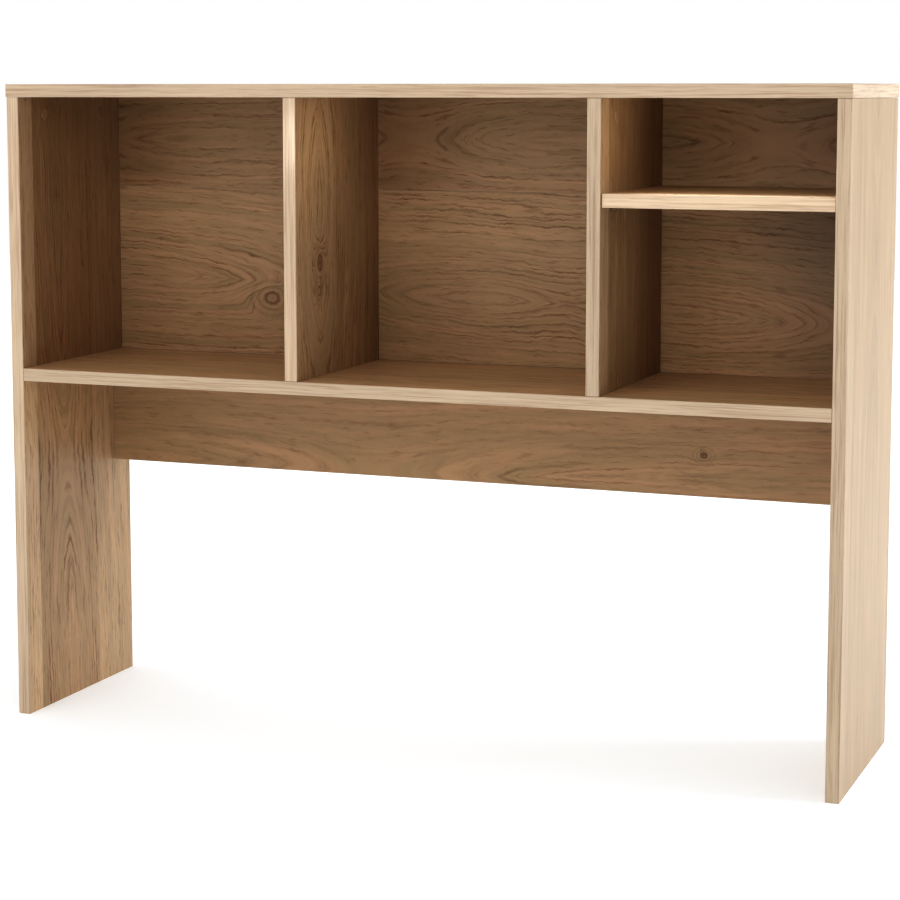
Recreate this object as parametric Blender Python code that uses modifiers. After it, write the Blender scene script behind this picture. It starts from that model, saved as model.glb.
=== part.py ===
"""Desk hutch: a bridge-shaped shelf unit that stands on a desk.

Two side panels carry a top panel, a long shelf with two dividers, a small shelf, two back boards and
a rail. Lengths are in metres and +Z is up. The origin is on the ground, at the middle of the
footprint, and the open front faces -Y.
"""

import math

import bmesh
import bpy
from mathutils import Matrix, Vector

# Overall size and board stock
WIDTH = 1.200
DEPTH = 0.305
HEIGHT = 0.906
BOARD = 0.018
BAND = 0.001  # thickness of the glued edge bands
GAP = 0.0003  # between pieces that touch
OVERHANG = 0.001  # top panel beyond the side panels, at each end and at the front
BOARD_EDGE = 0.0003  # arris on the boards
BAND_EDGE = 0.0005  # eased edge on the bands

# Layout
SHELF_TOP = 0.504  # upper face of the long shelf
SMALL_SHELF_TOP = 0.766
SMALL_SHELF_SETBACK = 0.004
SMALL_SHELF_CLEARANCE = 0.001
BACK_SEAM = 0.753  # height where the two back boards meet
RAIL_BOTTOM = 0.336
RAIL_INSET = 0.029  # rail's rear face, in front of the rear edges
BAY_WIDTH = 0.411  # clear width of the left and the middle bay

# Fasteners
CAM_DISTANCE = 0.024  # cam nut's centre, from the joint
CAM_RADIUS = 0.0075
CAM_DEPTH = 0.0125
CAM_SLOT_HALF = 0.0036  # half the width of the slot that takes the bolt
CAM_RECESS_LENGTH = 0.0080
CAM_RECESS_WIDTH = 0.0014
CAM_RECESS_DEPTH = 0.0015
BOLT_SHAFT_RADIUS = 0.0028
BOLT_NECK_RADIUS = 0.0018
BOLT_THREAD_RADIUS = 0.0030
BOLT_THREAD_LENGTH = 0.0105
BOLT_HEAD_LENGTH = 0.0025
DOWEL_RADIUS = 0.004
DOWEL_IN_PANEL = 0.012
DOWEL_IN_BOARD = 0.018
PIN_RADIUS = 0.0025
PIN_SHOULDER_RADIUS = 0.0035
PIN_IN_PANEL = 0.009
PIN_OUTSIDE = 0.008
SCREW_LAND = 0.0005
DIVIDER_SCREW = (0.0049, 0.0034, 0.0024, 0.050)  # head, shank and core radius, length
BACK_SCREW = (0.0038, 0.0022, 0.0016, 0.040)
CAM_INSET = 0.073  # cam joints of the top panel, from the front and from the rear
SHELF_JOINT_INSET = 0.060
PIN_INSET = 0.045
FINE_SEGMENTS = 20
SCREW_SEGMENTS = 16
COARSE_SEGMENTS = 12
OVERCUT = 0.001  # how far a cutter stands out of the face that it cuts

# Colours
HORIZONTAL_OAK = (0.30, 0.185, 0.105)
UPRIGHT_OAK = (0.36, 0.225, 0.130)
BAND_OAK = (0.60, 0.43, 0.28)
BOLT_STEEL = (0.62, 0.60, 0.56)
SCREW_STEEL = (0.60, 0.58, 0.50)
PIN_STEEL = (0.66, 0.65, 0.62)
CAM_ZINC = (0.55, 0.55, 0.56)
BEECH = (0.66, 0.48, 0.30)

# Planes that the boards share
FRONT = -DEPTH / 2
REAR = DEPTH / 2
CARCASS_FRONT = FRONT + OVERHANG
SIDE_OUTER = WIDTH / 2 - OVERHANG
SIDE_INNER = SIDE_OUTER - BOARD
TOP_UNDERSIDE = HEIGHT - BOARD
SHELF_UNDERSIDE = SHELF_TOP - BOARD
BACK_FRONT = REAR - BOARD
LEFT_DIVIDER_X = -SIDE_INNER + BAY_WIDTH + BOARD / 2
RIGHT_DIVIDER_X = LEFT_DIVIDER_X + BAY_WIDTH + BOARD
RAIL_REAR = REAR - RAIL_INSET

LEFT = -1
RIGHT = 1


def clear_scene():
    for thing in list(bpy.data.objects):
        bpy.data.objects.remove(thing, do_unlink=True)


def make_collection(name):
    collection = bpy.data.collections.new(name)
    bpy.context.scene.collection.children.link(collection)
    return collection


def make_material(name, colour, roughness, metallic=0.0):
    material = bpy.data.materials.new(name)
    material.use_nodes = True
    shader = material.node_tree.nodes["Principled BSDF"]
    shader.inputs["Base Color"].default_value = (*colour, 1.0)
    shader.inputs["Roughness"].default_value = roughness
    shader.inputs["Metallic"].default_value = metallic
    material.diffuse_color = (*colour, 1.0)
    return material


def add_object(name, mesh, collection, material=None):
    thing = bpy.data.objects.new(name, mesh)
    collection.objects.link(thing)
    if material:
        mesh.materials.append(material)
    return thing


def mark_as_cutter(thing):
    thing.hide_render = True
    thing.display_type = "WIRE"


def make_box(name, low, high, collection, material=None, edge=0.0):
    """A box between two corners, with its edges eased by the given width."""
    low = Vector(low)
    high = Vector(high)
    mesh = bpy.data.meshes.new(name)
    shape = bmesh.new()
    bmesh.ops.create_cube(shape, size=1.0)
    bmesh.ops.scale(shape, vec=high - low, verts=shape.verts)
    shape.to_mesh(mesh)
    shape.free()
    thing = add_object(name, mesh, collection, material)
    thing.location = (low + high) / 2
    if edge:
        bevel = thing.modifiers.new("Eased edges", "BEVEL")
        bevel.width = edge
        bevel.segments = 1
        bevel.limit_method = "ANGLE"
    return thing


def make_turned(name, profile, segments, collection, material=None):
    """A solid turned about Z from (radius, height) points that run from its top to its bottom."""
    mesh = bpy.data.meshes.new(name)
    shape = bmesh.new()
    points = [shape.verts.new((radius, 0, height)) for radius, height in profile]
    for upper, lower in zip(points, points[1:]):
        shape.edges.new((upper, lower))
    shape.to_mesh(mesh)
    shape.free()
    thing = add_object(name, mesh, collection)
    screw = thing.modifiers.new("Turned", "SCREW")
    screw.steps = segments
    screw.render_steps = segments
    screw.use_merge_vertices = True
    screw.merge_threshold = 0.00002
    bpy.context.view_layer.update()
    evaluated = thing.evaluated_get(bpy.context.evaluated_depsgraph_get())
    solid = bpy.data.meshes.new_from_object(evaluated)
    solid.name = name
    solid.shade_smooth()
    solid.set_sharp_from_angle(angle=math.radians(35))
    if material:
        solid.materials.append(material)
    thing.modifiers.clear()
    thing.data = solid
    bpy.data.meshes.remove(mesh)
    return thing


def aim(thing, place, axis, side=None):
    """Puts an object's origin at a place, its Z along axis and, if side is given, its X along side."""
    axis = Vector(axis)
    if side is None:
        turn = axis.to_track_quat("Z", "Y").to_matrix()
    else:
        side = Vector(side)
        turn = Matrix((side, axis.cross(side), axis)).transposed()
    thing.rotation_euler = turn.to_euler()
    thing.location = place


def cut(board, cutter):
    mark_as_cutter(cutter)
    boolean = board.modifiers.new("Cut " + cutter.name, "BOOLEAN")
    boolean.operation = "DIFFERENCE"
    boolean.solver = "EXACT"
    boolean.object = cutter


def drill(board, name, place, axis, radius, low, high, segments):
    """Drills a round hole about axis, between two distances from place."""
    profile = [(0, high), (radius, high), (radius, low), (0, low)]
    cutter = make_turned(board.name + "_" + name, profile, segments, cutters)
    aim(cutter, place, axis)
    cut(board, cutter)


def make_boards():
    """The ten boards, by name."""
    inner = SIDE_INNER - GAP
    core_front = CARCASS_FRONT + BAND + GAP
    divider_rear = BACK_FRONT - GAP
    half = BOARD / 2
    small_left = RIGHT_DIVIDER_X + half + SMALL_SHELF_CLEARANCE
    small_right = SIDE_INNER - SMALL_SHELF_CLEARANCE
    top_reach = WIDTH / 2 - BAND - GAP
    boxes = {
        "top_panel": (
            (-top_reach, FRONT + BAND + GAP, TOP_UNDERSIDE),
            (top_reach, REAR, HEIGHT),
        ),
        "left_side_panel": (
            (-SIDE_OUTER, core_front, 0),
            (-SIDE_INNER, REAR, TOP_UNDERSIDE - GAP),
        ),
        "right_side_panel": (
            (SIDE_INNER, core_front, 0),
            (SIDE_OUTER, REAR, TOP_UNDERSIDE - GAP),
        ),
        "bottom_shelf": ((-inner, core_front, SHELF_UNDERSIDE), (inner, REAR, SHELF_TOP)),
        "left_divider": (
            (LEFT_DIVIDER_X - half, core_front, SHELF_TOP + GAP),
            (LEFT_DIVIDER_X + half, divider_rear, TOP_UNDERSIDE - GAP),
        ),
        "right_divider": (
            (RIGHT_DIVIDER_X - half, core_front, SHELF_TOP + GAP),
            (RIGHT_DIVIDER_X + half, divider_rear, TOP_UNDERSIDE - GAP),
        ),
        "small_shelf": (
            (small_left, core_front + SMALL_SHELF_SETBACK, SMALL_SHELF_TOP - BOARD),
            (small_right, BACK_FRONT - SMALL_SHELF_CLEARANCE, SMALL_SHELF_TOP),
        ),
        "lower_back_board": (
            (-inner, BACK_FRONT, SHELF_TOP + GAP),
            (inner, REAR, BACK_SEAM - GAP / 2),
        ),
        "upper_back_board": (
            (-inner, BACK_FRONT, BACK_SEAM + GAP / 2),
            (inner, REAR, TOP_UNDERSIDE - GAP),
        ),
        "lower_rail": (
            (-inner, RAIL_REAR - BOARD, RAIL_BOTTOM),
            (inner, RAIL_REAR, SHELF_UNDERSIDE - GAP),
        ),
    }
    boards = {}
    for name, (low, high) in boxes.items():
        colour = HORIZONTAL_OAK if high[0] - low[0] > BOARD * 2 else UPRIGHT_OAK
        oak = make_material(name + "_oak", colour, 0.55)
        boards[name] = make_box(name, low, high, parts, oak, BOARD_EDGE)
    return boards


def make_front_band(board_name, low, high, front):
    """A band in front of a board that spans low to high in X and Z."""
    name = board_name + "_front_band"
    strip = make_material(name + "_edge", BAND_OAK, 0.5)
    corners = ((low[0], front, low[1]), (high[0], front + BAND, high[1]))
    make_box(name, *corners, parts, strip, BAND_EDGE)


def make_bands():
    """The edge bands: a front band on each board that shows its front, and the top panel's ends."""
    inner = SIDE_INNER - GAP
    half = BOARD / 2
    make_front_band("top", (-WIDTH / 2, TOP_UNDERSIDE), (WIDTH / 2, HEIGHT), FRONT)
    for word, side in (("left", LEFT), ("right", RIGHT)):
        outer, inside = sorted((side * SIDE_OUTER, side * SIDE_INNER))
        make_front_band(
            word + "_side", (outer, 0), (inside, TOP_UNDERSIDE - GAP), CARCASS_FRONT
        )
    make_front_band("bottom_shelf", (-inner, SHELF_UNDERSIDE), (inner, SHELF_TOP), CARCASS_FRONT)
    for word, middle in (("left", LEFT_DIVIDER_X), ("right", RIGHT_DIVIDER_X)):
        make_front_band(
            word + "_divider",
            (middle - half, SHELF_TOP + GAP),
            (middle + half, TOP_UNDERSIDE - GAP),
            CARCASS_FRONT,
        )
    make_front_band(
        "small_shelf",
        (RIGHT_DIVIDER_X + half + SMALL_SHELF_CLEARANCE, SMALL_SHELF_TOP - BOARD),
        (SIDE_INNER - SMALL_SHELF_CLEARANCE, SMALL_SHELF_TOP),
        CARCASS_FRONT + SMALL_SHELF_SETBACK,
    )
    for word, side in (("left", LEFT), ("right", RIGHT)):
        name = "top_" + word + "_end_band"
        near, far = sorted((side * WIDTH / 2, side * (WIDTH / 2 - BAND)))
        strip = make_material(name + "_edge", BAND_OAK, 0.5)
        low = (near, FRONT + BAND + GAP, TOP_UNDERSIDE)
        make_box(name, low, (far, REAR, HEIGHT), parts, strip, BAND_EDGE)


def make_cam_bolt(name, joint, axis):
    """A bolt screwed into one board, standing along axis into the edge of the next."""
    head_top = CAM_DISTANCE + BOLT_HEAD_LENGTH
    neck_bottom = CAM_DISTANCE - CAM_RADIUS / 2
    profile = [
        (0, head_top),
        (BOLT_THREAD_RADIUS, head_top),
        (BOLT_THREAD_RADIUS, CAM_DISTANCE),
        (BOLT_NECK_RADIUS, CAM_DISTANCE - BOLT_NECK_RADIUS / 2),
        (BOLT_NECK_RADIUS, neck_bottom),
        (BOLT_SHAFT_RADIUS, neck_bottom - BOLT_NECK_RADIUS / 2),
        (BOLT_SHAFT_RADIUS, BOLT_THREAD_RADIUS / 2),
        (BOLT_THREAD_RADIUS, 0),
        (BOLT_THREAD_RADIUS, -BOLT_THREAD_LENGTH),
        (0, -BOLT_THREAD_LENGTH),
    ]
    steel = make_material(name + "_steel", BOLT_STEEL, 0.35, 1.0)
    aim(make_turned(name, profile, COARSE_SEGMENTS, parts, steel), joint, axis)


def make_cam_nut(name, centre, face_normal, to_joint):
    """A cam nut that sits just under a board's face, open towards the joint for the bolt."""
    floor = -GAP - CAM_DEPTH
    profile = [(0, -GAP), (CAM_RADIUS, -GAP), (CAM_RADIUS, floor), (0, floor)]
    zinc = make_material(name + "_zinc", CAM_ZINC, 0.4, 1.0)
    nut = make_turned(name, profile, FINE_SEGMENTS, parts, zinc)
    aim(nut, centre, face_normal, to_joint)
    slot_top = -BOARD / 2 + CAM_SLOT_HALF
    slot_end = -BOLT_HEAD_LENGTH - 4 * GAP
    slot = make_box(
        name + "_slot",
        (slot_end, -CAM_SLOT_HALF, floor - OVERCUT),
        (CAM_RADIUS + OVERCUT, CAM_SLOT_HALF, slot_top),
        cutters,
    )
    recess_floor = -GAP - CAM_RECESS_DEPTH
    long_half = CAM_RECESS_LENGTH / 2
    thin_half = CAM_RECESS_WIDTH / 2
    cutters_here = [slot]
    for word, x, y in (("a", long_half, thin_half), ("b", thin_half, long_half)):
        cutters_here.append(
            make_box(name + "_recess_" + word, (-x, -y, recess_floor), (x, y, OVERCUT), cutters)
        )
    turn = nut.rotation_euler.to_matrix()
    for cutter in cutters_here:
        aim(cutter, Vector(centre) + turn @ cutter.location, face_normal, to_joint)
        cut(nut, cutter)


def join_with_cam(name, bolt_board, cam_board, joint, axis, face_normal):
    """Bolt, cam nut and their holes. joint is on the contact plane at the cam board's mid-thickness."""
    joint = Vector(joint)
    axis = Vector(axis)
    face_normal = Vector(face_normal)
    centre = joint + axis * CAM_DISTANCE + face_normal * BOARD / 2
    make_cam_bolt("cam_bolt_" + name, joint, axis)
    make_cam_nut("cam_nut_" + name, centre, face_normal, -axis)
    thread_hole = BOLT_THREAD_RADIUS + GAP
    drill(bolt_board, "bolt_hole_" + name, joint, axis, thread_hole,
          -BOLT_THREAD_LENGTH - 2 * GAP, OVERCUT, COARSE_SEGMENTS)
    drill(cam_board, "shaft_hole_" + name, joint, axis, thread_hole + GAP,
          -OVERCUT, CAM_DISTANCE, COARSE_SEGMENTS)
    drill(cam_board, "cam_pocket_" + name, centre, face_normal, CAM_RADIUS + GAP,
          -CAM_DEPTH - 3 * GAP, OVERCUT, FINE_SEGMENTS)


def screw_outline(size, top, grown):
    """A countersunk screw's profile, from its top at a height to its tip, made thicker by grown."""
    head, shank, core, length = size
    land = -GAP - SCREW_LAND - grown  # lower end of the head's straight rim
    step = -BOARD - OVERCUT  # the shank goes a little way into the second board
    return [
        (0, top),
        (head + grown, top),
        (head + grown, land),
        (shank + grown, land - (head - shank)),
        (shank + grown, step),
        (core + grown, step - (shank - core)),
        (core + grown, core * 2 - length),
        (core / 2 + grown, -length - grown),
        (0, -length - grown),
    ]


def join_with_screw(name, first, second, head_place, axis, size):
    """A countersunk screw whose head lies in the first board's face. axis points into the boards."""
    outward = -Vector(axis)
    steel = make_material(name + "_steel", SCREW_STEEL, 0.35, 1.0)
    screw = make_turned(name, screw_outline(size, -GAP, 0), SCREW_SEGMENTS, parts, steel)
    aim(screw, head_place, outward)
    hole = screw_outline(size, OVERCUT, GAP)
    for board in (first, second):
        cutter = make_turned(f"{board.name}_{name}_hole", hole, SCREW_SEGMENTS, cutters)
        aim(cutter, head_place, outward)
        cut(board, cutter)


def join_with_dowel(name, panel, board, place, axis):
    """A wooden dowel across the joint at place. axis points from the panel into the board."""
    beech = make_material(name + "_beech", BEECH, 0.7)
    chamfer = DOWEL_RADIUS / 4
    profile = [
        (0, DOWEL_IN_BOARD),
        (DOWEL_RADIUS - chamfer, DOWEL_IN_BOARD),
        (DOWEL_RADIUS, DOWEL_IN_BOARD - chamfer),
        (DOWEL_RADIUS, -DOWEL_IN_PANEL + chamfer),
        (DOWEL_RADIUS - chamfer, -DOWEL_IN_PANEL),
        (0, -DOWEL_IN_PANEL),
    ]
    aim(make_turned(name, profile, COARSE_SEGMENTS, parts, beech), place, axis)
    for part, low, high in (
        (panel, -DOWEL_IN_PANEL - GAP, OVERCUT),
        (board, -OVERCUT, DOWEL_IN_BOARD + GAP),
    ):
        drill(part, name + "_hole", place, axis, DOWEL_RADIUS + GAP, low, high, COARSE_SEGMENTS)


def make_shelf_pin(name, panel, place, axis):
    """A stepped pin in a panel's face. axis points out of the panel, under the small shelf."""
    chamfer = PIN_RADIUS / 5
    steel = make_material(name + "_steel", PIN_STEEL, 0.3, 1.0)
    profile = [
        (0, PIN_OUTSIDE),
        (PIN_SHOULDER_RADIUS - chamfer, PIN_OUTSIDE),
        (PIN_SHOULDER_RADIUS, PIN_OUTSIDE - chamfer),
        (PIN_SHOULDER_RADIUS, GAP),
        (PIN_RADIUS, GAP),
        (PIN_RADIUS, -PIN_IN_PANEL),
        (0, -PIN_IN_PANEL),
    ]
    aim(make_turned(name, profile, SCREW_SEGMENTS, parts, steel), place, axis)
    drill(panel, name + "_hole", place, axis, PIN_RADIUS + GAP,
          -PIN_IN_PANEL - GAP, OVERCUT, COARSE_SEGMENTS)


def fasten_top(boards):
    """Two cam joints in each side panel and one in each divider, hidden under the top panel."""
    top = boards["top_panel"]
    for word, side in (("left", LEFT), ("right", RIGHT)):
        middle = side * (SIDE_OUTER - BOARD / 2)
        for row, y in (("front", FRONT + CAM_INSET), ("rear", REAR - CAM_INSET)):
            join_with_cam(f"top_{word}_{row}", top, boards[word + "_side_panel"],
                          (middle, y, TOP_UNDERSIDE), (0, 0, -1), (-side, 0, 0))
    for word, middle in (("left", LEFT_DIVIDER_X), ("right", RIGHT_DIVIDER_X)):
        join_with_cam(f"top_{word}_divider", top, boards[word + "_divider"],
                      (middle, FRONT + CAM_INSET, TOP_UNDERSIDE), (0, 0, -1), (1, 0, 0))


def fasten_shelf_and_rail(boards):
    """Cam joints that tie the long shelf and the rail to the side panels."""
    shelf_middle = SHELF_TOP - BOARD / 2
    rail_middle = (RAIL_BOTTOM + SHELF_UNDERSIDE) / 2
    for word, side in (("left", LEFT), ("right", RIGHT)):
        panel = boards[word + "_side_panel"]
        inward = (-side, 0, 0)
        for row, y in (("front", FRONT + SHELF_JOINT_INSET), ("rear", REAR - SHELF_JOINT_INSET)):
            join_with_cam(f"shelf_{word}_{row}", panel, boards["bottom_shelf"],
                          (side * SIDE_INNER, y, shelf_middle), inward, (0, 0, -1))
        join_with_cam(f"rail_{word}", panel, boards["lower_rail"],
                      (side * SIDE_INNER, RAIL_REAR - BOARD / 2, rail_middle), inward, (0, 1, 0))


def fasten_dividers(boards):
    """Screws up through the long shelf and forward through the back boards."""
    rows = (("front", FRONT + SHELF_JOINT_INSET), ("rear", BACK_FRONT - SHELF_JOINT_INSET))
    backs = {
        "lower": (SHELF_TOP + BACK_SEAM) / 2,
        "upper": (BACK_SEAM + TOP_UNDERSIDE) / 2,
    }
    for word, middle in (("left", LEFT_DIVIDER_X), ("right", RIGHT_DIVIDER_X)):
        divider = boards[word + "_divider"]
        for row, y in rows:
            join_with_screw(f"divider_screw_{word}_{row}", boards["bottom_shelf"], divider,
                            (middle, y, SHELF_UNDERSIDE), (0, 0, 1), DIVIDER_SCREW)
        for level, z in backs.items():
            join_with_screw(f"back_screw_{word}_{level}", boards[level + "_back_board"], divider,
                            (middle, REAR, z), (0, -1, 0), BACK_SCREW)


def dowel_back_boards(boards):
    heights = {
        "lower": (SHELF_TOP + BACK_SEAM) / 2,
        "upper": (BACK_SEAM + TOP_UNDERSIDE) / 2,
    }
    for word, side in (("left", LEFT), ("right", RIGHT)):
        for level, z in heights.items():
            join_with_dowel(f"back_dowel_{word}_{level}", boards[word + "_side_panel"],
                            boards[level + "_back_board"],
                            (side * SIDE_INNER, REAR - BOARD / 2, z), (-side, 0, 0))


def pin_small_shelf(boards):
    """Four pins that carry the small shelf."""
    z = SMALL_SHELF_TOP - BOARD - GAP - PIN_SHOULDER_RADIUS
    hosts = (
        ("left", boards["right_divider"], RIGHT_DIVIDER_X + BOARD / 2, 1),
        ("right", boards["right_side_panel"], SIDE_INNER, -1),
    )
    rows = (("front", CARCASS_FRONT + PIN_INSET), ("rear", BACK_FRONT - PIN_INSET))
    for word, panel, x, direction in hosts:
        for row, y in rows:
            make_shelf_pin(f"shelf_pin_{word}_{row}", panel, (x, y, z), (direction, 0, 0))


clear_scene()
parts = make_collection("desk_hutch")
cutters = make_collection("cutters")
hutch_boards = make_boards()
make_bands()
fasten_top(hutch_boards)
fasten_shelf_and_rail(hutch_boards)
fasten_dividers(hutch_boards)
dowel_back_boards(hutch_boards)
pin_small_shelf(hutch_boards)
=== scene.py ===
"""Looks of the desk hutch: oak-print boards, pale edge bands, cam covers and metal fasteners.

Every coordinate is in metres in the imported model's frame: X to the right, -Y to the front, +Z up.
"""

import math
from types import SimpleNamespace

import bmesh
import bpy
from mathutils import Matrix, Vector


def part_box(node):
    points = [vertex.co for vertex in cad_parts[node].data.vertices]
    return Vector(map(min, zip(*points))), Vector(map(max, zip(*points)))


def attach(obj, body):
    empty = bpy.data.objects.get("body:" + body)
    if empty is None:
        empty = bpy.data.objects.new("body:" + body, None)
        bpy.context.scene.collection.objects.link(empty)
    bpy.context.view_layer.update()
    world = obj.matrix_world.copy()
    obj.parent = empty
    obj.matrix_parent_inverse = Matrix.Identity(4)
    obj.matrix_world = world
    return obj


# Printed oak, as linear colours, and the colours of the painted light and shade on it. A SHADE is what
# the darkest print, or the painted shade, multiplies the colour under it by.
BROWN_OAK = (0.425, 0.257, 0.134)
OLIVE_OAK = (0.380, 0.247, 0.120)
PALE_OAK = (0.540, 0.368, 0.212)
SUNLIT_OAK = (0.441, 0.312, 0.194)  # painted light and sheen: the paler, quieter colour that the side panels' outer faces are painted
BAND_OAK = (0.600, 0.462, 0.320)
BAND_BLUSH = (0.570, 0.425, 0.292)
RING_SHADE = (0.51, 0.39, 0.29)
# Painted shade: the colour that boards are darkened towards at the rear of the bays, in corners and on
# the left side panel's upper part
PAINTED_SHADE_TINT = (0.55, 0.41, 0.31)
KNOT_SHADE = (0.34, 0.24, 0.17)
KNOT_RINGS = ((0.45, 0.13, 0.80), (0.95, 0.12, 0.34), (1.45, 0.14, 0.22))  # radius, width, darkness
BAND_RING_SHADE = (0.79, 0.70, 0.64)
ARCH_REACH = 0.050  # how far from the heart line the rings still bend into arches
CHIP_CORE = (0.50, 0.37, 0.235)
CHIP_DARK = (0.26, 0.165, 0.090)
CHIP_PALE = (0.68, 0.54, 0.37)
WORN_EDGE = (0.66, 0.55, 0.42)
WORN_WIDTH = 0.0011

# Depth of the relief that the bump node presses into a surface
PRINT_RELIEF = 0.00010
BAND_RELIEF = 0.00008
DOWEL_RELIEF = 0.00008
CAST_RELIEF = 0.00006
METAL_RELIEF = 0.00004
FLOOR_RELIEF = 0.00001

# Metals and the dowels
CAM_ZINC = (0.52, 0.52, 0.53)
PLATED_STEEL = (0.63, 0.61, 0.57)
PLATED_YELLOW = (0.66, 0.60, 0.47)
BRONZED = (0.24, 0.155, 0.088)
BEECH = (0.66, 0.48, 0.30)
BEECH_FLECK = (0.40, 0.25, 0.14)

# Cam covers: pressed-on caps that hide the cam nuts facing into the bays
COVER_RADIUS = 0.0085
COVER_THICKNESS = 0.0008
COVER_SEGMENTS = 48
COVER_PROFILE = (  # from the foot of the rim to the crown: shares of the radius and of the thickness
    (1.000, 0.00),
    (1.000, 0.35),
    (0.975, 0.70),
    (0.930, 0.88),
    (0.600, 0.97),
    (0.250, 1.00),
)
COVER_GRAIN = (0.25, 0.15, 0.085)
COVER_PAINTED_SHADE = (0.74, 0.66, 0.60)  # the caps on the left side panel carry its painted shade

# The studio: how bright the white walls are, and the darker part of them in front of the hutch
STUDIO_LIGHT = 0.82
STUDIO_DIM = 0.30
DIM_SIDE = (0.25, -0.97, 0.0)
DIM_EDGES = (0.50, 0.95)  # cosines of the angle from DIM_SIDE where the dimming begins and is full
PLAIN_WHITE = (1.0, 1.0, 1.0)
COOL_WHITE = (0.84, 0.97, 1.14)
WARM_WHITE = (1.0, 0.90, 0.72)
FLOOR_SIZE = 16.0
FLOOR_WHITE = (0.90, 0.93, 0.955)
FLOOR_GLOW_NEAR = 0.29  # the floor gives off a little light, more of it farther out
FLOOR_GLOW_FAR = 0.55
FLOOR_GLOW_RANGE = (0.7, 2.0)
GLOW_WHITE = (0.94, 0.98, 1.0)
PICTURE_GAMMA = 0.8  # deepens the shadows a little and leaves white alone

# Camera, at the photograph's viewing angle
CAMERA_PLACE = (1.1797, -2.9985, 0.8981)
CAMERA_TURN = 21.273  # degrees to the left of +Y
CAMERA_TILT = 6.398  # degrees down
CAMERA_LENS = 93.16
CAMERA_SENSOR = 36.0
CAMERA_SHIFT = -0.11


class Wire:
    """A number that a node socket carries, so that node maths reads as a formula."""

    def __init__(self, graph, socket):
        self.graph = graph
        self.socket = socket

    def math(self, operation, other=0.0, clamp=False):
        node = self.graph.node("ShaderNodeMath", operation=operation, use_clamp=clamp)
        for socket, value in zip(node.inputs, (self, other)):
            self.graph.put(socket, value)
        return Wire(self.graph, node.outputs[0])

    def __add__(self, other):
        return self.math("ADD", other)

    def __sub__(self, other):
        return self.math("SUBTRACT", other)

    def __mul__(self, other):
        return self.math("MULTIPLY", other)

    def __neg__(self):
        return self.math("MULTIPLY", -1.0)

    def clamped(self):
        return self.math("ADD", 0.0, clamp=True)

    def ramp(self, start, stop, low=0.0, high=1.0):
        """low at start, high at stop, smooth in between and level beyond."""
        node = self.graph.node("ShaderNodeMapRange", interpolation_type="SMOOTHSTEP")
        for socket, value in zip(node.inputs, (self, start, stop, low, high)):
            self.graph.put(socket, value)
        return Wire(self.graph, node.outputs[0])

    def bell(self, centre, width):
        """1 at the centre, falling off to 0 on both sides over a few widths."""
        scaled = (self - centre) * (1.0 / width)
        return (-(scaled * scaled)).math("EXPONENT")


class Graph:
    """The nodes of one material."""

    def __init__(self, name):
        self.material = bpy.data.materials.new(name)
        self.material.use_nodes = True
        self.tree = self.material.node_tree
        self.shader = self.tree.nodes["Principled BSDF"]

    def node(self, kind, **settings):
        made = self.tree.nodes.new(kind)
        for key, value in settings.items():
            setattr(made, key, value)
        return made

    def put(self, socket, value):
        if isinstance(value, Wire):
            value = value.socket
        if isinstance(value, bpy.types.NodeSocket):
            self.tree.links.new(value, socket)
        else:
            socket.default_value = value

    def axes(self, source):
        """X, Y and Z of a vector socket."""
        split = self.node("ShaderNodeSeparateXYZ")
        self.put(split.inputs[0], source)
        return {axis: Wire(self, split.outputs[i]) for i, axis in enumerate("xyz")}

    def place(self):
        coordinates = self.node("ShaderNodeTexCoord")
        return self.axes(coordinates.outputs["Object"])

    def facing(self):
        geometry = self.node("ShaderNodeNewGeometry")
        return self.axes(geometry.outputs["True Normal"])

    def vector(self, x, y, z):
        joined = self.node("ShaderNodeCombineXYZ")
        for socket, value in zip(joined.inputs, (x, y, z)):
            self.put(socket, value)
        return joined.outputs[0]

    def noise(self, x, y, z, detail=2.0, roughness=0.5):
        """Smooth noise of about -1 to 1: metres times n give features 1/n metres across."""
        node = self.node("ShaderNodeTexNoise", noise_dimensions="3D")
        self.put(node.inputs["Vector"], self.vector(x, y, z))
        node.inputs["Scale"].default_value = 1.0
        node.inputs["Detail"].default_value = detail
        node.inputs["Roughness"].default_value = roughness
        return (Wire(self, node.outputs[0]) - 0.5) * 2.0

    def constant(self, value):
        node = self.node("ShaderNodeValue")
        node.outputs[0].default_value = value
        return Wire(self, node.outputs[0])

    def chance(self, x, y):
        """A random number from 0 to 1 for each pair of inputs."""
        node = self.node("ShaderNodeTexWhiteNoise", noise_dimensions="2D")
        self.put(node.inputs["Vector"], self.vector(x, y, 0.0))
        return Wire(self, node.outputs[0])

    def mix(self, share, first, second, blend="MIX"):
        """Two colours mixed by share."""
        node = self.node("ShaderNodeMix", data_type="RGBA", blend_type=blend)
        self.put(node.inputs["Factor"], share)
        for socket, colour in ((node.inputs[6], first), (node.inputs[7], second)):
            if isinstance(colour, tuple):
                colour = (*colour, 1.0)
            self.put(socket, colour)
        return node.outputs[2]

    def shade(self, share, colour, factor):
        """A colour, multiplied by another one by share."""
        return self.mix(share, colour, self.mix(1.0, colour, factor, "MULTIPLY"))

    def brighten(self, colour, factor):
        """A colour times a number."""
        grey = self.node("ShaderNodeCombineColor")
        for socket in grey.inputs:
            self.put(socket, factor)
        return self.mix(1.0, colour, grey.outputs[0], "MULTIPLY")

    def finish(self, colour, roughness, height, depth, metallic=0.0):
        """Connects the shader: height is in units of depth, which is in metres."""
        bump = self.node("ShaderNodeBump")
        bump.inputs["Strength"].default_value = 1.0
        bump.inputs["Distance"].default_value = depth
        self.put(bump.inputs["Height"], height)
        self.put(self.shader.inputs["Normal"], bump.outputs[0])
        self.put(self.shader.inputs["Base Color"], colour)
        self.put(self.shader.inputs["Roughness"], roughness)
        self.put(self.shader.inputs["Metallic"], metallic)
        return self.material


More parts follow.
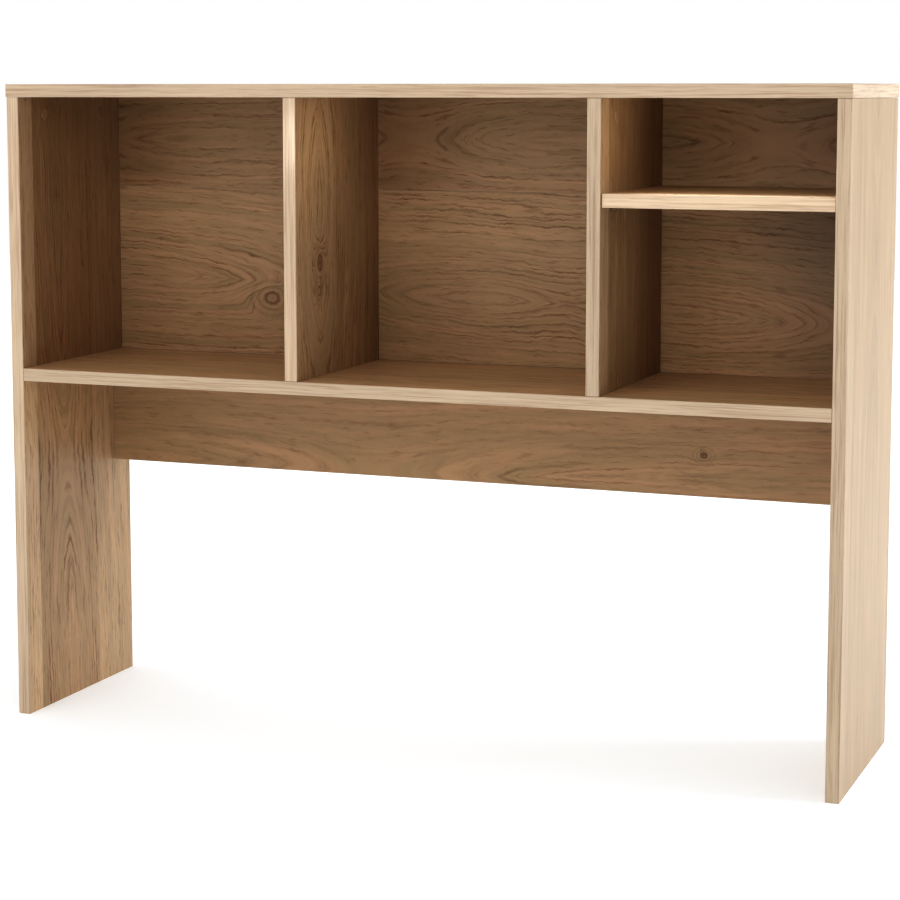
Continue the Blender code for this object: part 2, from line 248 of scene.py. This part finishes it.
def ring_count(graph, along, across, seed, look):
    """How many growth rings lie between a point of a flat-sawn board and its heart line.

    The board cuts the tree at a depth that changes along it, so the rings draw arches around the
    heart line. Each hill is (place, width, depth) and each knot (along, across, size, eye).
    """
    drift = graph.noise(along * 3.0, across * 10.0, seed, 2.0) * 0.012
    shiver = graph.noise(along * 34.0, across * 70.0, seed + 5.0, 2.0) * 0.0036
    fray = graph.noise(along * 130.0, across * 110.0, seed + 7.0, 1.0) * 0.0017
    heart = along * look.get("slope", 0.0) + look["heart"]
    offset = (across - heart + drift + shiver + fray).math("ABSOLUTE")
    depth = graph.noise(along * 5.0, seed, seed + 9.0, 1.0) * 0.008 + 0.006
    for place, width, height in look.get("hills", ()):
        depth = depth + along.bell(place, width) * height
    distance = offset + depth * (offset * (-1.0 / ARCH_REACH)).math("EXPONENT")
    for knot_along, knot_across, size, _ in look.get("knots", ()):
        swell = along.bell(knot_along, size * 1.9) * across.bell(knot_across, size)
        distance = distance + swell * (size * 1.6)
    count = distance * (1.0 / look["spacing"])
    return count + graph.noise(count * 0.45, seed, 3.0, 1.0) * 0.9


def ring_lines(graph, along, across, count, seed):
    """How dark the rings are, from 0 to 1: each has its own strength and comes in strokes."""
    phase = count.math("FRACT")
    strength = graph.chance(count.math("FLOOR"), seed).ramp(0.0, 1.0, 0.30, 1.0)
    stroke = graph.noise(along * 13.0, count * 0.8, seed + 2.0, 2.0).ramp(-0.24, 0.22, 0.12, 1.0)
    patch = graph.noise(along * 2.5, across * 9.0, seed + 3.0, 1.0).ramp(-0.35, 0.30, 0.45, 1.0)
    rise = phase.ramp(0.0, 0.18)
    fall = phase.ramp(0.22, 0.80, 1.0, 0.0)
    return rise * fall * strength * stroke * patch


def knot_cores(graph, along, across, knots):
    """The dark rings of the knots; eye is how dark a knot's centre is."""
    dark = graph.constant(0.0)
    for knot_along, knot_across, size, eye in knots:
        out = (along - knot_along) * (0.75 / size)
        up = (across - knot_across) * (1.0 / size)
        ragged = graph.noise(along * 240.0, across * 240.0, size, 1.0) * 0.10
        radius = (out * out + up * up).math("SQRT") + ragged
        dark = dark + radius.bell(0.0, 0.34) * eye
        for place, width, strength in KNOT_RINGS:
            dark = dark + radius.bell(place, width) * strength
    return dark


def near_edge(graph, place, box, width):
    """1 along the outer edges of a box-shaped board, fading within width of an edge.

    A point on a face has one gap of 0 to the box, so its distance to an edge is the second smallest gap.
    """
    low, high = box
    gaps = []
    for i, axis in enumerate("xyz"):
        gap_low = place[axis] - low[i]
        gap_high = (-place[axis]) + high[i]
        gaps.append(gap_low.math("MINIMUM", gap_high))
    nearest = gaps[0].math("MINIMUM", gaps[1]).math("MINIMUM", gaps[2])
    farthest = gaps[0].math("MAXIMUM", gaps[1]).math("MAXIMUM", gaps[2])
    total = gaps[0] + gaps[1] + gaps[2]
    second = total - nearest - farthest
    return second.ramp(0.0, width, 1.0, 0.0)


def chipboard(graph, place, seed):
    """The raw core where a board is cut: wood chips from half a millimetre to three."""
    grain = graph.noise(place["x"] * 420.0, place["y"] * 420.0, place["z"] * 420.0 + seed, 3.0)
    chips = graph.noise(place["x"] * 900.0, place["y"] * 900.0, place["z"] * 900.0, 1.0)
    colour = graph.mix(grain.ramp(-0.35, 0.35), CHIP_CORE, CHIP_PALE)
    colour = graph.mix(chips.ramp(0.12, 0.45, 0.0, 0.75), colour, CHIP_DARK)
    return colour, grain


def pale_planks(graph, across, planks):
    """How much paler the print is across the board, from planks of (start, stop, soft edge, share)."""
    stripe = graph.constant(0.0)
    for start, stop, soft, share in planks:
        begins = across.ramp(start - soft, start + soft)
        ends = across.ramp(stop - soft, stop + soft, 1.0, 0.0)
        stripe = stripe.math("MAXIMUM", begins * ends * share)
    return stripe


def ramp_sum(graph, place, ramps, base=0.0):
    """base plus every ramp of (axis, begin, end, value up to begin, value from end on)."""
    total = graph.constant(base)
    for axis, begin, end, low, high in ramps:
        total = total + place[axis].ramp(begin, end, low, high)
    return total


def grain_noise(graph, along, across, count, seed):
    """The noises that the print is made of, long along the grain; count ties them to the rings."""
    return SimpleNamespace(
        pores=graph.noise(along * 70.0, count * 5.0, seed, 2.0),
        fibre=graph.noise(along * 16.0, count * 2.6, seed + 4.0, 3.0, 0.6),
        streak=graph.noise(along * 3.0, count * 0.55, seed + 6.0, 3.0, 0.6),
        dash=graph.noise(along * 30.0, count * 2.8, seed + 10.0, 2.0),
        broad=graph.noise(along * 2.0, across * 9.0, seed + 8.0, 2.0),
    )


def ground_colour(graph, place, look, noise, planks):
    """The print under its dark grain: two browns and pale planks, and stretches painted brighter and
    darker as painted light and shade.
    """
    colour = graph.mix(noise.streak.ramp(-0.35, 0.35), OLIVE_OAK, BROWN_OAK)
    colour = graph.mix(planks, colour, PALE_OAK)
    bright = noise.fibre * 0.22 + noise.streak * 0.24 + noise.broad * 0.14 + 1.05
    # tone and lift: painted light and shade, the board painted brighter or darker
    tone = ramp_sum(graph, place, look.get("painted_light_and_shade", ()), look.get("tone", 1.0))
    colour = graph.brighten(colour, bright * tone)
    # deep: painted shade, darkening the colour towards PAINTED_SHADE_TINT
    return graph.shade(ramp_sum(graph, place, look.get("painted_shade", ())), colour, PAINTED_SHADE_TINT)


def oak_board_material(name, node, look):
    """Oak-print melamine board: a printed face with the grain pressed in, and a raw core where cut."""
    graph = Graph(name)
    place = graph.place()
    facing = graph.facing()[look["grain"][2]]
    along, across, through = (place[axis] for axis in look["grain"])
    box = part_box(node)
    thin = "xyz".index(look["grain"][2])
    planks = pale_planks(graph, across, look.get("pale", ()))

    # The two faces, and a pale plank and its neighbour, have prints of their own
    far_face = through.math("GREATER_THAN", (box[0][thin] + box[1][thin]) / 2)
    seed = far_face * 7.3 + look["seed"] + planks.math("GREATER_THAN", 0.3) * 13.1

    bold = look.get("bold", 1.0)
    count = ring_count(graph, along, across, seed, look)
    noise = grain_noise(graph, along, across, count, seed)
    rings = ring_lines(graph, along, across, count, seed)
    dark = (rings * noise.pores.ramp(-0.35, 0.20, 0.45, 1.15) * bold).clamped()
    cores = knot_cores(graph, along, across, look.get("knots", ())).clamped()
    # sunlit: painted light and sheen on one face, painted paler and with fainter grain
    sunlit = (facing * look.get("sunlit", 0.0)).ramp(0.5, 0.9)
    flecks = noise.pores.ramp(0.22, 0.55, 0.0, 0.36)
    flecks = flecks.math("MAXIMUM", noise.dash.ramp(0.12, 0.42, 0.0, 0.64 * bold))
    flecks = flecks * sunlit.ramp(0.0, 1.0, 1.0, 0.45)

    colour = ground_colour(graph, place, look, noise, planks)
    colour = graph.shade(dark, colour, RING_SHADE)
    colour = graph.shade(flecks, colour, RING_SHADE)
    # Painted light and sheen: the sunlit face is mixed towards SUNLIT_OAK
    sunlit_sheen = graph.brighten(SUNLIT_OAK, noise.streak * 0.24 + noise.fibre * 0.24 + 1.0)
    colour = graph.mix(sunlit * 0.80, colour, sunlit_sheen)
    colour = graph.shade(cores, colour, KNOT_SHADE)

    wear = near_edge(graph, place, box, WORN_WIDTH) * noise.fibre.ramp(-0.5, 0.6, 0.10, 0.50)
    colour = graph.mix(wear, colour, WORN_EDGE)
    core_colour, core_grain = chipboard(graph, place, look["seed"])
    cut = facing.math("ABSOLUTE").ramp(0.25, 0.35, 1.0, 0.0)
    colour = graph.mix(cut, colour, core_colour)

    dark = dark.math("MAXIMUM", cores)
    roughness = dark * 0.10 + noise.fibre * 0.04 + cut * 0.38 + 0.44
    printed = noise.pores * 0.35 + noise.fibre * 0.25 - dark * 0.6
    height = printed * ((-cut) + 1.0) + core_grain * cut * 2.5
    graph.put(graph.shader.inputs["Specular IOR Level"], 0.4)
    return graph.finish(colour, roughness, height, PRINT_RELIEF)


def oak_band_material(name, grain, seed, tone):
    """The pale glued edge band: straight streaks along its length, a few millimetres apart."""
    graph = Graph(name)
    place = graph.place()
    along, across, through = (place[axis] for axis in grain)
    bend = graph.noise(along * 6.0, across * 30.0, seed, 2.0) * 0.0022
    offset = across + through + bend
    streaks = graph.noise(along * 5.0, offset * 310.0, seed + 2.0, 2.0, 0.6)
    lines = graph.noise(along * 16.0, offset * 760.0, seed + 4.0, 2.0, 0.6)
    pores = graph.noise(along * 60.0, offset * 1100.0, seed + 3.0, 2.0)
    broad = graph.noise(along * 3.0, offset * 70.0, seed + 5.0, 2.0)
    colour = graph.mix(streaks.ramp(-0.3, 0.3), BAND_OAK, BAND_BLUSH)
    bright = broad * 0.12 - streaks * 0.12 - lines * 0.08 + 1.02
    # tone: painted light and shade, how much brighter or darker the band is painted
    colour = graph.brighten(colour, bright * tone)
    dark = streaks.ramp(0.05, 0.34, 0.0, 0.80) * pores.ramp(-0.4, 0.3, 0.6, 1.0)
    dark = dark.math("MAXIMUM", lines.ramp(0.05, 0.36, 0.0, 0.75))
    colour = graph.shade(dark, colour, BAND_RING_SHADE)
    roughness = dark * 0.08 + lines * 0.03 + 0.46
    height = pores * 0.4 - dark * 0.7
    return graph.finish(colour, roughness, height, BAND_RELIEF)


def cast_zinc_material():
    """Die-cast zinc: dull grey with a fine cast skin and faint brighter rubs."""
    graph = Graph("cast_zinc")
    place = graph.place()
    skin = graph.noise(place["x"] * 900.0, place["y"] * 900.0, place["z"] * 900.0, 3.0)
    cloud = graph.noise(place["x"] * 160.0, place["y"] * 160.0, place["z"] * 160.0, 2.0)
    colour = graph.brighten(CAM_ZINC, skin * 0.12 + cloud * 0.18 + 1.0)
    roughness = skin * 0.08 + cloud * 0.10 + 0.46
    return graph.finish(colour, roughness, skin + cloud * 0.5, CAST_RELIEF, 1.0)


def plated_steel_material():
    """Zinc-plated steel: bright, with a faint yellow cast and fine drawing marks."""
    graph = Graph("plated_steel")
    place = graph.place()
    marks = graph.noise(place["x"] * 300.0, place["y"] * 300.0, place["z"] * 1500.0, 2.0)
    tint = graph.noise(place["x"] * 120.0, place["y"] * 120.0, place["z"] * 120.0, 2.0)
    colour = graph.mix(tint.ramp(-0.4, 0.4), PLATED_STEEL, PLATED_YELLOW)
    colour = graph.brighten(colour, marks * 0.10 + 1.0)
    roughness = marks * 0.07 + tint * 0.05 + 0.30
    return graph.finish(colour, roughness, marks, METAL_RELIEF, 1.0)


def bronzed_material():
    """Bronzed steel, brown enough that the shelf pins hardly show against the board."""
    graph = Graph("bronzed_steel")
    place = graph.place()
    tarnish = graph.noise(place["x"] * 700.0, place["y"] * 700.0, place["z"] * 700.0, 3.0)
    colour = graph.brighten(BRONZED, tarnish * 0.30 + 1.0)
    return graph.finish(colour, tarnish * 0.08 + 0.42, tarnish, METAL_RELIEF, 0.6)


def beech_material():
    """Plain beech dowels: pale pinkish wood with short dark flecks along X."""
    graph = Graph("beech")
    place = graph.place()
    fibre = graph.noise(place["x"] * 60.0, place["y"] * 1500.0, place["z"] * 1500.0, 2.0)
    fleck = graph.noise(place["x"] * 260.0, place["y"] * 2600.0, place["z"] * 2600.0, 1.0)
    colour = graph.brighten(BEECH, fibre * 0.18 + 1.0)
    colour = graph.mix(fleck.ramp(0.25, 0.5, 0.0, 0.5), colour, BEECH_FLECK)
    return graph.finish(colour, fibre * 0.05 + 0.62, fibre + fleck, DOWEL_RELIEF)


# The side panels' print, as planks of (start, stop, soft edge, share): a pale one along the front edge,
# and a fainter one towards the rear
FRONT_PLANK_EDGE = -0.1145
SIDE_PLANKS = ((-0.160, FRONT_PLANK_EDGE, 0.0006, 1.0), (0.048, 0.160, 0.020, 0.45))


def board_prints():
    """What is printed on each board, and the light and shade painted on some of them.

    grain: the axes along, across and through the board; seed: picks the random part;
    heart, slope: where the heart line runs across the board, and how it leans;
    spacing: from ring to ring; hills, knots: see ring_count; pale: see pale_planks;
    bold: how dark the grain is; tone: painted light and shade, how much brighter or darker the whole
    board is painted;
    lift: painted light and shade, ramps added to the tone; deep: painted shade, ramps of how far the
    colour darkens to PAINTED_SHADE_TINT (both see ramp_sum);
    sunlit: the side, +1 or -1 along the through axis, that is painted paler and quieter as painted light
    and sheen.
    """
    # Lessens the painted shade on the pale front plank of the left side panel
    front_plank_ramp = ("y", FRONT_PLANK_EDGE - 0.001, FRONT_PLANK_EDGE + 0.001, -0.26, 0.0)
    return {
        "top_panel": dict(
            grain="xyz", seed=1.0, heart=0.02, spacing=0.0066, hills=((0.35, 0.30, 0.06),)
        ),
        # Painted light: tone 1.24 paints the bottom shelf brighter
        "bottom_shelf": dict(
            grain="xyz", seed=2.0, heart=-0.30, spacing=0.0062, hills=((-0.2, 0.4, 0.05),), tone=1.24
        ),
        "small_shelf": dict(
            grain="xyz", seed=3.0, heart=0.05, spacing=0.0060, pale=((-0.160, -0.112, 0.014, 0.9),)
        ),
        "lower_back_board": dict(
            grain="xzy",
            seed=4.0,
            heart=0.600,
            slope=-0.045,
            spacing=0.0058,
            hills=((-0.24, 0.16, 0.045), (0.14, 0.08, 0.022), (0.56, 0.13, 0.045)),
            knots=((-0.325, 0.589, 0.0180, 0.35),),
            # Painted light and shade: brighter in the right bay's left part, darker towards its right
            # end
            painted_light_and_shade=(("x", 0.268, 0.286, 0.0, 0.34), ("x", 0.340, 0.540, 0.0, -0.60)),
        ),
        "upper_back_board": dict(
            grain="xzy",
            seed=5.0,
            heart=0.826,
            spacing=0.0088,
            hills=((-0.72, 0.16, 0.045), (-0.10, 0.11, 0.040), (0.45, 0.12, 0.040)),
            # Painted shade: darker beside the left side panel, at the middle bay's left and towards the
            # right side panel
            painted_shade=(
                ("x", -0.580, -0.400, 0.60, 0.0),
                ("x", -0.160, -0.145, 0.0, 0.50),
                ("x", -0.140, 0.060, 0.0, -0.50),
                ("x", 0.400, 0.560, 0.0, 0.28),
            ),
        ),
        "lower_rail": dict(
            grain="xzy",
            seed=6.0,
            heart=0.350,
            slope=0.020,
            spacing=0.0085,
            hills=((-0.15, 0.24, 0.045),),
            knots=((0.349, 0.394, 0.0080, 1.0),),
            bold=0.62,
            tone=0.97,
        ),
        "left_side_panel": dict(
            grain="zyx",
            seed=7.0,
            heart=-0.025,
            slope=-0.035,
            spacing=0.0066,
            hills=((0.36, 0.14, 0.045),),
            pale=SIDE_PLANKS,
            bold=1.0,
            tone=0.95,
            # Painted shade on the upper part above the bottom shelf, less of it on the front plank, and
            # painted light low on the leg
            painted_shade=(("z", 0.487, 0.503, 0.0, 0.58), front_plank_ramp),
            painted_light_and_shade=(("z", 0.150, 0.380, 0.09, 0.0),),
            sunlit=-1.0,
        ),
        "right_side_panel": dict(
            grain="zyx",
            seed=8.0,
            heart=0.020,
            spacing=0.0066,
            hills=((0.70, 0.20, 0.045),),
            pale=SIDE_PLANKS,
            bold=0.60,
            # The outer face carries painted light and sheen
            sunlit=1.0,
        ),
        "left_divider": dict(
            grain="zyx",
            seed=9.0,
            heart=-0.075,
            spacing=0.0060,
            hills=((0.50, 0.10, 0.045), (0.95, 0.12, 0.040)),
            knots=((0.661, -0.073, 0.0170, 1.0), (0.622, -0.076, 0.0100, 0.30)),
            bold=1.2,
            tone=0.94,
            pale=((-0.160, -0.021, 0.006, 0.45),),
            # Painted shade towards the rear of the bay
            painted_shade=(("y", 0.030, 0.130, 0.0, 0.60),),
        ),
        "right_divider": dict(
            grain="zyx",
            seed=10.0,
            heart=-0.060,
            spacing=0.0062,
            hills=((0.30, 0.12, 0.04),),
            pale=((-0.160, FRONT_PLANK_EDGE, 0.003, 0.8),),
            tone=0.93,
            # Painted shade towards the rear of the bays
            painted_shade=(("y", -0.030, 0.110, 0.0, 0.90),),
        ),
    }


def assign(node, material):
    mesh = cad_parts[node].data
    mesh.materials.clear()
    mesh.materials.append(material)


def dress_boards():
    for node, look in board_prints().items():
        assign(node, oak_board_material(f"oak_{node}", node, look))


# Painted light and shade on the bands: how much brighter or darker each band is painted, where it
# differs
BAND_LIGHT_AND_SHADE = {
    "small_shelf_front_band": 1.13,
    "left_side_front_band": 1.00,
    "top_front_band": 0.90,
    "bottom_shelf_front_band": 0.90,
    "right_side_front_band": 0.88,
    "right_divider_front_band": 0.86,
}


def dress_bands():
    """The grain of a band runs along its longest side."""
    bands = sorted(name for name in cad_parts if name.endswith("_band"))
    for seed, node in enumerate(bands):
        low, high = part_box(node)
        size = high - low
        order = sorted(range(3), key=lambda i: -size[i])
        grain = "".join("xyz"[i] for i in order)
        tone = BAND_LIGHT_AND_SHADE.get(node, 1.0)
        assign(node, oak_band_material(f"oak_{node}", grain, 20.0 + seed * 3.7, tone))


def dress_fasteners():
    materials = {
        "cam_nut": cast_zinc_material(),
        "cam_bolt": plated_steel_material(),
        "back_dowel": beech_material(),
        "shelf_pin": bronzed_material(),
    }
    materials["divider_screw"] = materials["cam_bolt"]
    materials["back_screw"] = materials["cam_bolt"]
    for node in sorted(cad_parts):
        for prefix, material in materials.items():
            if node.startswith(prefix):
                assign(node, material)


def cover_material(name, shade):
    """The caps carry the board's print too, in a slightly duller foil."""
    graph = Graph(name)
    place = graph.place()
    lines = graph.noise(place["z"] * 14.0, place["y"] * 420.0, place["x"] * 20.0, 3.0, 0.6)
    tone = graph.noise(place["z"] * 20.0, place["y"] * 90.0, place["x"] * 9.0, 2.0)
    colour = graph.mix(lines.ramp(-0.1, 0.5), BROWN_OAK, COVER_GRAIN)
    colour = graph.brighten(colour, tone * 0.15 + 1.0)
    # shade: painted shade on the caps of the left side panel, plain white elsewhere
    colour = graph.mix(1.0, colour, shade, "MULTIPLY")
    return graph.finish(colour, lines * 0.05 + 0.50, lines, BAND_RELIEF)


def make_cover(name, centre, out, material):
    """A cap with a rolled rim and a slightly crowned face, lying on a board at centre."""
    mesh = bpy.data.meshes.new(name)
    shape = bmesh.new()
    rings = []
    for radius_share, height_share in COVER_PROFILE:
        radius = COVER_RADIUS * radius_share
        height = COVER_THICKNESS * height_share
        circle = []
        for i in range(COVER_SEGMENTS):
            angle = 2 * math.pi * i / COVER_SEGMENTS
            circle.append(shape.verts.new((radius * math.cos(angle), radius * math.sin(angle), height)))
        rings.append(circle)
    for inner, outer in zip(rings[1:], rings[:-1]):
        for i in range(COVER_SEGMENTS):
            j = (i + 1) % COVER_SEGMENTS
            shape.faces.new((outer[i], outer[j], inner[j], inner[i]))
    shape.faces.new(rings[-1])
    shape.faces.new(list(reversed(rings[0])))
    turn = Vector((0, 0, 1)).rotation_difference(Vector(out)).to_matrix().to_4x4()
    bmesh.ops.transform(shape, matrix=Matrix.Translation(centre) @ turn, verts=shape.verts)
    bmesh.ops.recalc_face_normals(shape, faces=shape.faces)
    shape.to_mesh(mesh)
    shape.free()
    mesh.shade_smooth()
    mesh.set_sharp_from_angle(angle=math.radians(50))
    mesh.materials.append(material)
    cover = bpy.data.objects.new(name, mesh)
    bpy.context.scene.collection.objects.link(cover)
    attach(cover, "root")


def make_covers():
    """One cover on each top cam nut that faces into a bay."""
    plain_foil = cover_material("oak_cap_foil", PLAIN_WHITE)
    # The caps on the left side panel carry its painted shade
    painted_shade_foil = cover_material("oak_cap_foil_painted_shade", COVER_PAINTED_SHADE)
    hosts = {
        "left_front": ("left_side_panel", 1),
        "left_rear": ("left_side_panel", 1),
        "right_front": ("right_side_panel", -1),
        "right_rear": ("right_side_panel", -1),
        "left_divider": ("left_divider", 1),
        "right_divider": ("right_divider", 1),
    }
    for label, (board, side) in hosts.items():
        low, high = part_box(f"cam_nut_top_{label}")
        centre = (low + high) / 2
        centre.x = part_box(board)[1 if side > 0 else 0].x
        material = painted_shade_foil if board == "left_side_panel" else plain_foil
        make_cover(f"cam_cover_{label}", centre, (side, 0, 0), material)


def make_floor():
    """A plain white studio floor, lit evenly enough to melt into the background."""
    bpy.ops.mesh.primitive_plane_add(size=FLOOR_SIZE, location=(0, 0, 0))
    floor = bpy.context.object
    floor.name = "studio_floor"
    graph = Graph("studio_floor")
    place = graph.place()
    haze = graph.noise(place["x"] * 1.3, place["y"] * 1.3, 0.0, 2.0)
    colour = graph.brighten(FLOOR_WHITE, haze * 0.01 + 1.0)
    graph.put(graph.shader.inputs["Emission Color"], (*GLOW_WHITE, 1.0))
    distance = (place["x"] * place["x"] + place["y"] * place["y"]).math("SQRT")
    glow = distance.ramp(*FLOOR_GLOW_RANGE, FLOOR_GLOW_NEAR, FLOOR_GLOW_FAR)
    graph.put(graph.shader.inputs["Emission Strength"], glow)
    graph.put(graph.shader.inputs["Specular IOR Level"], 0.1)
    floor.data.materials.append(graph.finish(colour, haze * 0.02 + 0.75, haze, FLOOR_RELIEF))


def area_light(name, place, target, size, power, colour):
    """A rectangular light that the camera doesn't see, turned to shine at target."""
    data = bpy.data.lights.new(name, "AREA")
    data.shape = "RECTANGLE"
    data.size, data.size_y = size
    data.energy = power
    data.color = colour
    light = bpy.data.objects.new(name, data)
    light.location = place
    light.rotation_euler = (Vector(target) - Vector(place)).to_track_quat("-Z", "Y").to_euler()
    light.visible_camera = False
    bpy.context.scene.collection.objects.link(light)


def make_world():
    """A white studio, less bright towards the front right, and plain white as a background."""
    world = bpy.data.worlds.new("white_studio")
    world.use_nodes = True
    tree = world.node_tree
    background = tree.nodes["Background"]
    background.inputs["Color"].default_value = (1.0, 1.0, 1.0, 1.0)
    coordinates = tree.nodes.new("ShaderNodeTexCoord")
    towards = tree.nodes.new("ShaderNodeVectorMath")
    towards.operation = "DOT_PRODUCT"
    towards.inputs[1].default_value = Vector(DIM_SIDE).normalized()
    fade = tree.nodes.new("ShaderNodeMapRange")
    fade.interpolation_type = "SMOOTHSTEP"
    for socket, value in zip(fade.inputs[1:5], (*DIM_EDGES, STUDIO_LIGHT, STUDIO_DIM)):
        socket.default_value = value
    rays = tree.nodes.new("ShaderNodeLightPath")
    shown = tree.nodes.new("ShaderNodeMix")
    shown.inputs[3].default_value = 1.0
    tree.links.new(coordinates.outputs["Generated"], towards.inputs[0])
    tree.links.new(towards.outputs["Value"], fade.inputs["Value"])
    tree.links.new(rays.outputs["Is Camera Ray"], shown.inputs[0])
    tree.links.new(fade.outputs[0], shown.inputs[2])
    tree.links.new(shown.outputs[0], background.inputs["Strength"])
    bpy.context.scene.world = world


# Each light: its name, place, target, size, power in watts and colour. The glows are small lights
# beside the small shelf, the left divider and in the cubby above the small shelf, where the photo shows
# brighter spots.
LIGHTS = (
    ("key_left", (-0.7, -2.1, 1.65), (-0.2, 0.0, 0.60), (1.3, 1.3), 12.0, PLAIN_WHITE),
    ("key_right", (0.6, -2.3, 1.65), (0.2, 0.0, 0.60), (1.0, 1.0), 11.5, PLAIN_WHITE),
    ("right_soft", (2.4, 0.50, 0.85), (0.6, 0.0, 0.45), (1.1, 1.7), 31.0, COOL_WHITE),
    ("shelf_glow", (0.45, -0.140, 0.800), (0.45, -0.138, 0.766), (0.24, 0.015), 0.11, COOL_WHITE),
    ("band_glow", (-0.161, -0.178, 0.828), (-0.161, -0.151, 0.828), (0.014, 0.075), 0.007, COOL_WHITE),
    ("bay_glow", (-0.055, -0.100, 0.815), (-0.152, -0.100, 0.815), (0.09, 0.07), 0.038, WARM_WHITE),
    ("cubby_glow", (0.42, -0.130, 0.870), (0.31, 0.10, 0.80), (0.10, 0.02), 0.060, WARM_WHITE),
    ("strip_glow", (0.36, -0.130, 0.830), (0.277, -0.130, 0.830), (0.04, 0.06), 0.014, WARM_WHITE),
)


def make_lights():
    """Every light of LIGHTS, and how the picture shows brightness."""
    bpy.context.scene.view_settings.view_transform = "Standard"
    bpy.context.scene.view_settings.gamma = PICTURE_GAMMA
    for name, place, target, size, power, colour in LIGHTS:
        area_light(name, place, target, size, power, colour)


def make_camera():
    data = bpy.data.cameras.new("camera")
    data.sensor_width = CAMERA_SENSOR
    data.lens = CAMERA_LENS
    data.shift_y = CAMERA_SHIFT
    camera = bpy.data.objects.new("camera", data)
    camera.location = CAMERA_PLACE
    camera.rotation_euler = (math.radians(90.0 - CAMERA_TILT), 0.0, math.radians(CAMERA_TURN))
    bpy.context.scene.collection.objects.link(camera)
    bpy.context.scene.camera = camera


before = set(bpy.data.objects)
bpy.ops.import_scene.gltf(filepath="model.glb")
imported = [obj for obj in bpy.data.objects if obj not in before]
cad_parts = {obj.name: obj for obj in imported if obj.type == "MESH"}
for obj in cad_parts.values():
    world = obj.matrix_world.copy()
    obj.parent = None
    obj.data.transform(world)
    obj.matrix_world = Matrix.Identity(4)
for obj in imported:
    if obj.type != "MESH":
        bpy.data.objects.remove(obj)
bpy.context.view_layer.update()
dress_boards()
dress_bands()
dress_fasteners()
make_covers()
make_floor()
make_world()
make_lights()
make_camera()
